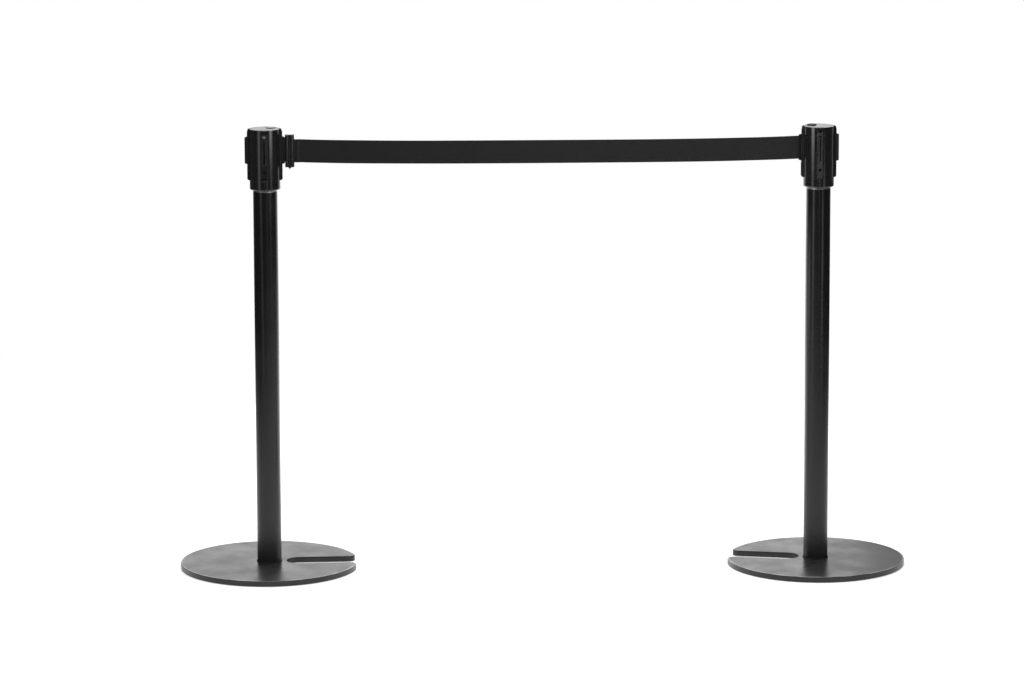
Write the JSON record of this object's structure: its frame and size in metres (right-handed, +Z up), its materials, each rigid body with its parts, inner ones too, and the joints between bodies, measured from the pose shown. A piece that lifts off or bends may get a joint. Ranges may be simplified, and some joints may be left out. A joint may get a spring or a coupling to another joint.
{
  "type": "retractable belt queue pole pair",
  "caption": "Pair of black free-standing queue poles on flat slotted disc bases, joined by a retractable webbing belt from one head to a receiver on the other.",
  "frame": {"origin": "on the floor, midway between the two poles' axes", "axes": "+X from the pole that takes the belt end to the pole that holds the belt cassette, +Y to the rear, +Z up"},
  "size_m": [1.496, 0.366, 0.9156],
  "materials": {
    "base_paint": "black powder coat, fine grain, satin",
    "tube_paint": "black powder coat, smooth satin",
    "head_plastic": "black moulded plastic, fine satin",
    "strip_plastic": "black moulded plastic, satin",
    "clip_plastic": "black moulded plastic, satin",
    "neck_metal": "turned, satin",
    "floor_rubber": "black, matt",
    "plated_steel": "zinc plated",
    "dark_screws": "black oxide",
    "spring_steel": "blued strip",
    "drum_plastic": "natural moulded plastic",
    "bush_plastic": "natural bearing plastic",
    "belt_fabric": "black woven polyester webbing"
  },
  "bodies": {
    "feed_pole": {"feed_base_plate": "base_paint", "feed_base_mat": "floor_rubber", "feed_base_washer": "plated_steel", "feed_base_bolt": "plated_steel", "feed_foot_gasket": "floor_rubber", "feed_tube": "tube_paint", "feed_tube_foot": "plated_steel", "feed_neck_plug": "head_plastic", "feed_neck_ring": "neck_metal", "feed_neck_screws": "plated_steel", "feed_head_body": "head_plastic", "feed_exit_plate": "strip_plastic", "feed_receiver_1": "strip_plastic", "feed_receiver_2": "strip_plastic", "feed_receiver_3": "strip_plastic", "feed_plate_screws": "dark_screws", "feed_top_cap": "head_plastic", "feed_cap_plug": "strip_plastic", "spool_shaft": "plated_steel", "shaft_clip": "spring_steel", "bearing_plate": "drum_plastic", "clock_spring": "spring_steel", "belt_web": "belt_fabric"},
    "belt_spool": {"spool_drum": "drum_plastic", "spring_cover": "drum_plastic", "wound_belt": "belt_fabric", "lower_bush": "bush_plastic", "upper_bush": "bush_plastic"},
    "dock_pole": {"dock_base_plate": "base_paint", "dock_base_mat": "floor_rubber", "dock_base_washer": "plated_steel", "dock_base_bolt": "plated_steel", "dock_foot_gasket": "floor_rubber", "dock_tube": "tube_paint", "dock_tube_foot": "plated_steel", "dock_neck_plug": "head_plastic", "dock_neck_ring": "neck_metal", "dock_neck_screws": "plated_steel", "dock_head_body": "head_plastic", "dock_exit_plate": "strip_plastic", "dock_receiver_1": "strip_plastic", "dock_receiver_2": "strip_plastic", "dock_receiver_3": "strip_plastic", "dock_plate_screws": "dark_screws", "dock_top_cap": "head_plastic", "dock_cap_plug": "strip_plastic"},
    "belt_end": {"clip_front_shell": "clip_plastic", "clip_back_shell": "clip_plastic", "clip_tongue": "clip_plastic", "clip_pin": "plated_steel", "clip_screws": "dark_screws", "belt_tail": "belt_fabric"}
  },
  "joints": [
    {"name": "pole_spacing", "type": "slide", "parent": "feed_pole", "child": "dock_pole", "axis": [-1, 0, 0], "range_m": [-0.6, 0.95], "deforming": ["belt_web"]},
    {"name": "spool_spin", "type": "hinge", "parent": "feed_pole", "child": "belt_spool", "pos_m": [0.565, 0, 0.87], "axis": [0, 0, 1], "range_deg": [-1820, 2880], "deforming": ["clock_spring"]},
    {"name": "belt_end_lift", "type": "slide", "parent": "dock_pole", "child": "belt_end", "axis": [0, 0, 1], "range_m": [0, 0.031], "deforming": ["belt_tail"]}
  ],
  "couplings": [
    {"joint": "spool_spin", "follows": "pole_spacing", "rad_per_m": 52.717}
  ]
}
